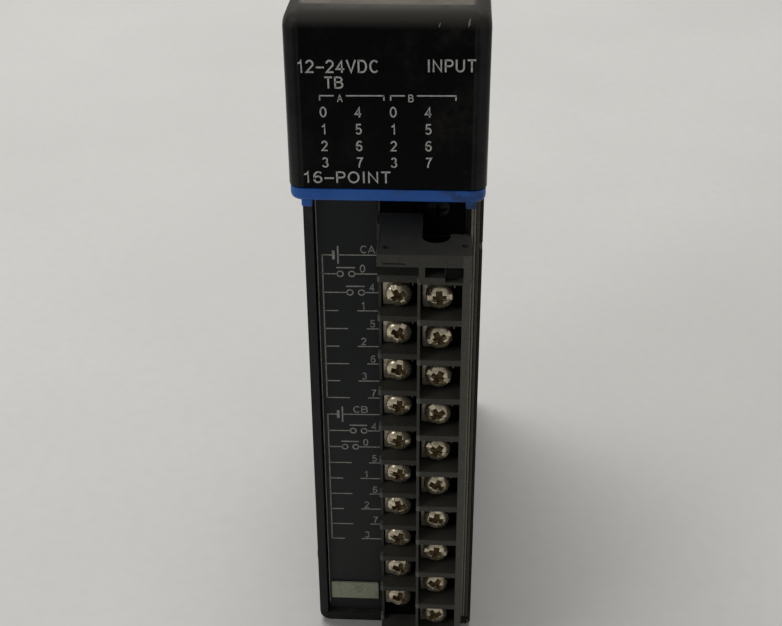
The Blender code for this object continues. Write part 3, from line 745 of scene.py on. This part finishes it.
def print_legend():
    """The pale words on the cover: two groups, A and B, with the digits 0 to 7 under each."""
    sheet = Print(COVER_LOW.y)
    sheet.word("12-24VDC", -14.75, 140.35, 2.2, 13.7)
    sheet.word("INPUT", 6.8, 140.45, 2.15, 8.1)
    sheet.word("TB", -10.3, 137.55, 2.05, 3.2)
    for left, right, letter, word in ((-11.3, -0.3, -7.8, "A"), (0.6, 11.7, 4.1, "B")):
        sheet.across(left, letter - 1.0, 135.25, LEGEND_LINE)
        sheet.across(letter + 1.0, right, 135.25, LEGEND_LINE)
        sheet.down(left + LEGEND_LINE / 2, 134.4, 135.3, LEGEND_LINE)
        sheet.down(right - LEGEND_LINE / 2, 134.4, 135.3, LEGEND_LINE)
        sheet.word(word, letter, 134.8, 1.3, centred=True)
    for column in range(4):
        for row in range(4):
            digit = str(row + 4 * (column % 2))
            sheet.word(digit, DIGIT_LEFT + DIGIT_COLUMN * column, DIGIT_TOP - DIGIT_ROW * row,
                       1.85, centred=True)
    sheet.word("16-POINT", -14.7, 120.4, 2.15, 15.2)
    sheet.turn(LEGEND_TURN, 0.0, 132.0)
    sheet.finish("cover_legend", "housing", INK, "marker_paper")


ROW_PITCH = 4.205
ROW_TOP = 94.55
RAIL = -14.05
BATTERY = -10.95
ROW_END = -3.1
ROW_SLOPE = 0.0135
THIN, MEDIUM, THICK = 0.24, 0.26, 0.28
SWITCH_ROWS = 2


def print_diagram():
    """The wiring diagram: each group has its common with a battery, then eight inputs.

    The first two inputs are drawn with a switch and the others with a gap. Digits 4 to 7 stand
    nearer to the terminals than digits 0 to 3.
    """
    sheet = Print(LABEL_LOW.y)
    row = 0
    for common, common_x, wide, order in (("CA", -6.6, 2.97, "04152637"),
                                          ("CB", -8.7, 3.2, "40516273")):
        top = ROW_TOP - ROW_PITCH * row
        bottom = top - ROW_PITCH * len(order)
        sheet.down(RAIL, bottom - THIN / 2, top + THIN / 2, MEDIUM)
        sheet.across(RAIL, -12.1, top, THIN)
        sheet.down(-11.85, top - 0.95, top + 0.95, 0.55)
        sheet.down(BATTERY, top - 1.95, top + 1.95, THICK)
        sheet.across(BATTERY, ROW_END, top, THIN)
        sheet.word(common, common_x, top + 1.25, 1.65, wide, gap=0.02)
        for number, digit in enumerate(order):
            z = top - ROW_PITCH * (number + 1)
            near = digit in "4567"
            start = RAIL if number == len(order) - 1 else RAIL - 0.25
            ring_x = -8.75 if near else -10.6
            if number < SWITCH_ROWS:
                sheet.across(start, ring_x - 0.55, z, THIN)
                sheet.ring(ring_x, z, 0.6, MEDIUM)
                sheet.ring(ring_x + 2.3, z, 0.6, MEDIUM)
                sheet.across(ring_x + 2.85, ROW_END, z, THIN)
                sheet.across(ring_x - 0.75, ring_x + 2.95, z + 1.4, THICK)
            else:
                sheet.across(start, -9.3 if near else -11.2, z, THIN)
                sheet.across(-5.5 if near else -7.4, ROW_END, z, THIN)
            sheet.word(digit, -4.3 if near else -6.15, z + 1.2, 1.7, centred=True)
        row += len(order) + 1
    sheet.lean(ROW_SLOPE, ROW_END)
    sheet.down(-15.0, 4.0, 113.5, 0.2)
    sheet.finish("label_diagram", "housing", DIAGRAM, "label_film")


# ---------------------------------------------------------------- front pieces
CROWN_RADIUS = 3.5
UPRIGHT_SHARE = 0.69
COVER_WALL = 1.5


def build_cover():
    """The cover: a block with a rounded crown and front corners, hollowed out from the rear."""
    bm = bmesh.new()
    box_into(bm, COVER_LOW, COVER_HIGH)

    def upright_front(direction, middle):
        return abs(direction.z) > FACING and middle.y < COVER_LOW.y + MM

    def crown(direction, middle):
        front = middle.y < COVER_LOW.y + MM
        return middle.z > COVER_HIGH.z - MM and (front or abs(direction.y) > FACING)

    weights = bm.edges.layers.float.new("bevel_weight_edge")
    for edge in bm.edges:
        direction = (edge.verts[1].co - edge.verts[0].co).normalized()
        middle = (edge.verts[1].co + edge.verts[0].co) / 2
        if crown(direction, middle):
            edge[weights] = 1.0
        elif upright_front(direction, middle):
            edge[weights] = UPRIGHT_SHARE
    block = scratch(to_mesh("cover_block", bm))
    rounding = block.modifiers.new("rounding", "BEVEL")
    rounding.width = CROWN_RADIUS * MM
    rounding.segments = 12
    rounding.limit_method = "WEIGHT"
    rounded = bake_modifiers(block)
    bm = bmesh.new()
    bm.from_mesh(rounded)
    rear = [face for face in bm.faces if face.normal.y > 0.99]
    bmesh.ops.delete(bm, geom=rear, context="FACES_ONLY")
    obj = scratch(to_mesh("indicator_shell", bm))
    wall = obj.modifiers.new("wall", "SOLIDIFY")
    wall.thickness = COVER_WALL * MM
    wall.offset = -1.0
    soften(obj, 0.18, 2, 50)
    mesh = bake_modifiers(obj)
    smooth(mesh, SMOOTH_ROUNDED)
    add("indicator_shell", mesh, "housing", SMOKED, slot="smoked_black",
        replaces=("indicator_cover",))


def build_band():
    """The blue band with its rounded lower edge, and the two small posts under it."""
    plate_low = Vector((BAND_LOW.x, BAND_LOW.y, BAND_LOW.z + 1.4 * MM))
    bm = bmesh.new()
    verts = box_into(bm, plate_low, BAND_HIGH)

    def corner(direction, middle):
        return abs(direction.z) > FACING and middle.y < plate_low.y + MM

    bevel_edges(bm, verts, corner, 2.4 * MM, 8)
    lower = []
    for edge in bm.edges:
        low = all(vert.co.z < plate_low.z + 0.01 * MM for vert in edge.verts)
        rear = all(vert.co.y > BAND_HIGH.y - 0.01 * MM for vert in edge.verts)
        if low and not rear and len(edge.link_faces) == 2:
            lower.append(edge)
    bmesh.ops.bevel(bm, geom=lower, offset=0.9 * MM, segments=4, affect="EDGES", profile=0.5)
    for middle in (-14.2 * MM, 14.6 * MM):
        tab = box_into(bm, (middle - 0.95 * MM, BAND_LOW.y + 0.7 * MM, BAND_LOW.z),
                       (middle + 0.95 * MM, BAND_LOW.y + 3.0 * MM, plate_low.z + 0.5 * MM))
        bevel_edges(bm, tab, lambda d, m: m.z < plate_low.z, 0.3 * MM, 3)
    add("blue_band", to_mesh("blue_band", bm), "housing", BLUE, slot="blue_plastic",
        replaces=("color_band",))


def build_marker():
    """The pale card near the foot of the label."""
    bm = bmesh.new()
    low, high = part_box("marker_strip")
    verts = box_into(bm, low, high)
    bevel_edges(bm, verts, lambda d, m: abs(d.y) > FACING, 0.25 * MM, 4)
    add("marker_card", to_mesh("marker_card", bm), "housing", PAPER, slot="marker_paper",
        replaces=("marker_strip",))


# ---------------------------------------------------------------- screws
# How much the cross narrows towards its floor, along and across each arm.
FLOOR_LENGTH, FLOOR_WIDTH = 0.42, 0.55
SLOT_REACH = 4
CUT_WELD = 0.015


def recess_mesh(arm, width, depth, slot_width, slot_depth, top):
    """The cross and slot that are cut in a screw head. Lengths in millimetres.

    The cross has the second material. A slot depth of 0 leaves the slot out.
    """
    bm = bmesh.new()
    for turn in (0.0, math.pi / 2):
        verts = box_into(bm, (-arm * MM, (top - 1) * MM, -width / 2 * MM),
                         (arm * MM, (top + depth) * MM, width / 2 * MM), 1)
        for vert in verts:
            if vert.co.y > top * MM:
                vert.co.x *= FLOOR_LENGTH
                vert.co.z *= FLOOR_WIDTH
        bmesh.ops.rotate(bm, verts=verts, cent=(0, 0, 0),
                         matrix=Matrix.Rotation(turn, 3, "Y"))
    if slot_depth:
        box_into(bm, (-SLOT_REACH * MM, (top - 1) * MM, -slot_width / 2 * MM),
                 (SLOT_REACH * MM, (top + slot_depth) * MM, slot_width / 2 * MM))
    return bm


def cut_recess(head, recess):
    """A screw as a mesh, in nickel, with the recess cut in its head and rust in the cross."""
    target = flat_mesh("head", head)
    tool = flat_mesh("tool", recess)
    for mesh in (target, tool):
        mesh.materials.append(NICKEL)
        mesh.materials.append(RUST)
    obj = scratch(target)
    cutter = scratch(tool, "cutter")
    subtract(obj, cutter, use_self=True)
    weld = obj.modifiers.new("weld", "WELD")
    weld.merge_threshold = CUT_WELD * MM
    soften(obj, 0.1, 2, 45)
    mesh = bake_modifiers(obj)
    bpy.data.objects.remove(cutter, do_unlink=True)
    smooth(mesh, SMOOTH_CUT)
    return mesh


DOME_RINGS = 10
SHANK_CHAMFER = 0.3


def dome(radius, height, rim, under, shank, length):
    """Profile of a domed head on a shank, in millimetres. The head's underside is at y = under."""
    points = [(0.0, under - height)]
    for step in range(1, DOME_RINGS + 1):
        turn = step / DOME_RINGS * math.pi / 2
        points.append((radius * math.sin(turn), under - rim - (height - rim) * math.cos(turn)))
    points += [(radius, under), (shank, under), (shank, length - SHANK_CHAMFER),
               (shank - SHANK_CHAMFER, length), (0.0, length)]
    return points


WASHER_BORE = 1.75
WASHER_TILT = 0.02


def washer_mesh():
    """A washer with nearly square corners on the left, round ones on the right, and a bore."""
    bm = bmesh.new()
    verts = box_into(bm, (-3.2 * MM, 0, -2.8 * MM), (2.2 * MM, 0.85 * MM, 2.8 * MM))
    bevel_edges(bm, verts, lambda d, m: abs(d.y) > FACING and m.x < 0, 0.35 * MM, 3)
    far_side = [vert for vert in bm.verts if vert.co.x > 0]
    bevel_edges(bm, far_side, lambda d, m: abs(d.y) > FACING, 1.8 * MM, 7)
    plate = scratch(to_mesh("washer_plate", bm))
    plug = lathe([(0, -2), (WASHER_BORE, -2), (WASHER_BORE, 2), (0, 2)], 32)
    bore = scratch(to_mesh("washer_bore", plug), "bore")
    subtract(plate, bore)
    soften(plate, 0.12, 3)
    mesh = bake_modifiers(plate)
    bpy.data.objects.remove(bore, do_unlink=True)
    smooth(mesh, SMOOTH_CUT)
    return mesh


def build_terminal_screws():
    """Every terminal's screw, with its head turned at random, and its washer, a little askew."""
    screw = cut_recess(lathe(dome(2.6, 1.65, 0.35, -0.3, 1.45, 2.9), 48),
                       recess_mesh(2.25, 1.55, 1.35, 1.15, 0.75, -1.95))
    washer = washer_mesh()
    for number, place in TERMINALS.items():
        piece = add(f"screw_detail_{number}", screw.copy(), f"screw_{number}",
                    slot="screw_steel", replaces=(f"terminal_screw_{number}",))
        turn = random.uniform(0, math.pi)
        piece.data.transform(Matrix.Translation(place) @ Matrix.Rotation(turn, 4, "Y"))
        plate = add(f"washer_detail_{number}", washer.copy(), f"washer_{number}", WASHER,
                    slot="washer_steel", replaces=(f"washer_{number}",))
        tilt = random.uniform(-WASHER_TILT, WASHER_TILT)
        plate.data.transform(Matrix.Translation(place) @ Matrix.Rotation(tilt, 4, "Y"))


def build_jack_screws():
    """The two dark screws that hold the block, with slots as well as crosses."""
    points = dome(2.2, 2.6, 0.9, -1.95, 1.4, 12.4)
    for name, body in (("jack_screw_top", "jack_top"), ("jack_screw_bottom", "jack_bottom")):
        low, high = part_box(name)
        centre = (low + high) / 2
        mesh = cut_recess(lathe(points, 40), recess_mesh(1.5, 0.8, 1.2, 0.7, 1.0, -4.55))
        mesh.materials[0] = ZINC
        # The cross in each head is near-black painted shade.
        mesh.materials[1] = DEPTH_SHADE
        piece = add(name + "_detail", mesh, body, slot="case_screw_zinc", replaces=(name,))
        piece.data.transform(Matrix.Translation((centre.x, FRONT_EDGE, centre.z)))


CASE_HEAD = 1.7


def build_case_screws():
    """The two screws in the side cover. Their heads face the right."""
    for name in ("case_screw_lower", "case_screw_upper"):
        low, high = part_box(name)
        centre = (low + high) / 2
        recess = recess_mesh(1.5, 0.8, 1.1, 0.7, 0.0, -1.75)
        mesh = cut_recess(lathe(dome(2.65, CASE_HEAD, 0.5, 0.0, 1.4, 3.5), 40), recess)
        mesh.transform(Matrix.Rotation(math.pi / 2, 4, "Z"))
        mesh.transform(Matrix.Translation((high.x - CASE_HEAD * MM, centre.y, centre.z)))
        mesh.materials[0] = ZINC
        add(name + "_detail", mesh, "housing", slot="case_screw_zinc", replaces=(name,))


# ---------------------------------------------------------------- small details
HALF_PITCH = 4.335
DIVIDER_RISE = 4.1
ROW_TOPS = ("01", "11")


def build_nubs():
    """The nub at the left end of every divider, the prong in every pocket and three painted
    highlight lines along the flange's edge.

    The top pocket of each row has a divider above it as well as one below.
    """
    nubs = bmesh.new()
    prongs = bmesh.new()
    for number, place in TERMINALS.items():
        left = int(number) <= LAST_OF_LEFT_ROW
        x = (-2.85 if left else 5.25) * MM
        front = place.y - DIVIDER_RISE * MM
        drop = 0.6 if left else 0.4
        for above in ((-1, 1) if number in ROW_TOPS else (-1,)):
            z = place.z + (drop + above * HALF_PITCH) * MM
            verts = box_into(nubs, (x, front, z - 0.72 * MM),
                             (x + 0.75 * MM, front + 1.6 * MM, z + 0.72 * MM))
            bevel_edges(nubs, verts, lambda d, m: m.y < front + 0.1 * MM or abs(d.y) > FACING,
                        0.28 * MM, 2)
        top = place.z + (drop + 3.75) * MM
        verts = box_into(prongs, (place.x + 2.62 * MM, place.y - 2.6 * MM, top - 1.4 * MM),
                         (place.x + 2.9 * MM, place.y - 0.5 * MM, top))
        bevel_edges(prongs, verts, lambda d, m: abs(d.x) > FACING, 0.15 * MM, 2)
    # Three thin strips that paint the highlight along the flange's left edge and up the base.
    beads = (((-2.16, -1.96), (-18.1, -6.1), (104.95, 105.2)),
             ((-2.86, -2.64), (-5.9, -1.4), (104.95, 105.2)),
             ((-2.68, -2.46), (-1.42, -1.1), (105.3, 111.4)))
    for (x0, x1), (y0, y1), (z0, z1) in beads:
        verts = box_into(nubs, (x0 * MM, y0 * MM + FRONT_EDGE, z0 * MM),
                         (x1 * MM, y1 * MM + FRONT_EDGE, z1 * MM))
        bevel_edges(nubs, verts, lambda d, m: True, 0.05 * MM, 2)
    add("divider_nubs", to_mesh("divider_nubs", nubs), "terminal_block", PALE_HIGHLIGHT,
        slot="block_grey")
    add("contact_prongs", to_mesh("contact_prongs", prongs), "terminal_block", PALE_HIGHLIGHT,
        slot="block_grey")


CHIP_STEPS = 7
CHIP_PROUD = 0.012
MODULE_TOP = 150.0


def build_chips():
    """Two pale chips knocked out of the crown, and a blob of flash on the left wall."""
    bm = bmesh.new()
    radius = CROWN_RADIUS
    for x, low, high, wide in ((13.5, 147.1, 148.4, 0.36), (8.7, 147.0, 147.8, 0.22)):
        rows = []
        for step in range(CHIP_STEPS + 1):
            z = low + (high - low) * step / CHIP_STEPS
            rise = max(0.0, z - (MODULE_TOP - radius))
            y = COVER_LOW.y / MM + radius - math.sqrt(radius ** 2 - rise ** 2) - CHIP_PROUD
            half = wide / 2 * math.sin(math.pi * (step + 0.35) / (CHIP_STEPS + 0.7))
            lean = 0.25 * (step / CHIP_STEPS - 0.5) + random.uniform(-0.06, 0.06)
            rows.append([bm.verts.new(((x + lean + side * half) * MM, y * MM, z * MM))
                         for side in (-1, 1)])
        for first, second in zip(rows, rows[1:]):
            bm.faces.new((first[0], first[1], second[1], second[0]))
    obj = scratch(to_mesh("crown_chips", bm))
    wall = obj.modifiers.new("wall", "SOLIDIFY")
    wall.thickness = 0.02 * MM
    add("crown_chips", bake_modifiers(obj), "housing", CHIP, slot="smoked_black")
    blob = bmesh.new()
    bmesh.ops.create_icosphere(blob, subdivisions=3, radius=1.0)
    blob.transform(Matrix.Translation((HOUSING_LOW.x + 0.1 * MM, FRONT_EDGE + 1.5 * MM, 18.6 * MM))
                   @ Matrix.Diagonal((0.35 * MM, 1.2 * MM, 1.9 * MM, 1.0)))
    add("wall_flash", to_mesh("wall_flash", blob), "housing", HOUSING, slot="housing_black")


def extrude_outline(outline, front, back):
    """A plate between two distances from the front edge, with an (x, z) outline. Millimetres."""
    bm = bmesh.new()
    near = [bm.verts.new((x * MM, front * MM + FRONT_EDGE, z * MM)) for x, z in outline]
    far = [bm.verts.new((x * MM, back * MM + FRONT_EDGE, z * MM)) for x, z in outline]
    bm.faces.new(near)
    bm.faces.new(far[::-1])
    for step in range(len(outline)):
        after = (step + 1) % len(outline)
        bm.faces.new((near[step], near[after], far[after], far[step]))
    return bm


def build_latch():
    """The latch plate behind the right end of the flange, near-black with painted shade."""
    outline = [(10.35, 99.7), (12.2, 99.7), (13.55, 100.3), (13.55, 101.95), (10.35, 101.95)]
    front, back = -17.5, -17.32
    bm = extrude_outline(outline, front, back)
    bevel_edges(bm, bm.verts, lambda d, m: m.y < FRONT_EDGE + (front + 0.05) * MM, 0.08 * MM, 2)
    add("latch_plate", to_mesh("latch_plate", bm), "terminal_block", NEAR_BLACK_SHADE, slot="block_grey")


def build_side_rim():
    """The three ridges along the front edge of the side cover, beside the block, painted pale as a
    highlight.
    """
    bm = bmesh.new()
    for left, right in ((14.92, 15.36), (15.48, 15.88), (15.98, 16.6)):
        verts = box_into(bm, (left * MM, FRONT_EDGE - 0.25 * MM, 2.4 * MM),
                         (right * MM, FRONT_EDGE + 0.3 * MM, 114.0 * MM))
        bevel_edges(bm, verts, lambda d, m: m.y < FRONT_EDGE, 0.08 * MM, 2)
    add("side_rim", to_mesh("side_rim", bm), "housing", RIM_HIGHLIGHT, slot="side_cover_black")


# ---------------------------------------------------------------- the rest
def repaint():
    """Gives the CAD nodes that show as they are their materials."""
    plain = {
        "light_guide": ACRYLIC, "indicator_board": BOARD, "logic_board": BOARD,
        "terminal_header": HEADER, "backplane_connector": CONNECTOR, "label_panel": LABEL,
        "interface_chip": EPOXY, "optocoupler_array": EPOXY, "capacitor": SLEEVE,
    }
    for node, mat in plain.items():
        mesh = NODES[node].data
        mesh.materials.clear()
        mesh.materials.append(mat)


def build_stage():
    bm = bmesh.new()
    box_into(bm, (-3, -2.5, -0.02), (3, 3.5, 0.0))
    floor = scratch(to_mesh("floor", bm), "floor")
    floor.data.materials.append(floor_material())


def area_light(name, place, target, size, power, color):
    data = bpy.data.lights.new(name, "AREA")
    data.shape = "RECTANGLE"
    data.size, data.size_y = size
    data.energy = power
    data.color = color
    obj = bpy.data.objects.new(name, data)
    obj.location = place
    obj.rotation_euler = (Vector(target) - Vector(place)).to_track_quat("-Z", "Y").to_euler()
    bpy.context.scene.collection.objects.link(obj)


def build_lights():
    area_light("overhead", (-0.18, 0.55, 1.2), (0.0, 0.05, 0.05), size=(1.0, 0.7), power=15.0,
               color=(1.0, 0.985, 0.96))
    area_light("window", (-1.0, -0.8, 0.8), (0.0, 0.0, 0.08), size=(0.5, 0.45), power=3.0,
               color=(0.98, 0.98, 1.0))
    world = bpy.data.worlds.new("studio")
    world.use_nodes = True
    background = world.node_tree.nodes["Background"]
    background.inputs["Color"].default_value = (0.95, 0.945, 0.93, 1.0)
    background.inputs["Strength"].default_value = 0.28
    bpy.context.scene.world = world


def build_camera():
    """Stands above and in front of the module, a little to its right, looking down at it."""
    distance, height, aside = 224.73 * MM, 213.857 * MM, 11.759 * MM
    pitch, yaw, roll = (math.radians(a) for a in (30.29, 3.124, 0.349))
    forward = Vector((-math.sin(yaw) * math.cos(pitch), math.cos(yaw) * math.cos(pitch),
                      -math.sin(pitch)))
    right = Vector((math.cos(yaw), math.sin(yaw), 0.0))
    down = forward.cross(right)
    right_rolled = math.cos(roll) * right + math.sin(roll) * down
    down_rolled = math.cos(roll) * down - math.sin(roll) * right
    data = bpy.data.cameras.new("camera")
    data.sensor_width = 36.0
    data.lens = 60.22
    camera = bpy.data.objects.new("camera", data)
    axes = Matrix((right_rolled, -down_rolled, -forward)).transposed()
    camera.matrix_world = (Matrix.Translation((aside, FRONT_EDGE - distance, height))
                           @ axes.to_4x4())
    bpy.context.scene.collection.objects.link(camera)
    bpy.context.scene.camera = camera


build_camera()
build_stage()
build_lights()
build_mouldings()
build_cover()
build_band()
build_marker()
build_terminal_screws()
build_jack_screws()
build_case_screws()
build_nubs()
build_chips()
build_latch()
build_side_rim()
repaint()
print_legend()
print_diagram()
bpy.context.scene.view_settings.view_transform = "Standard"
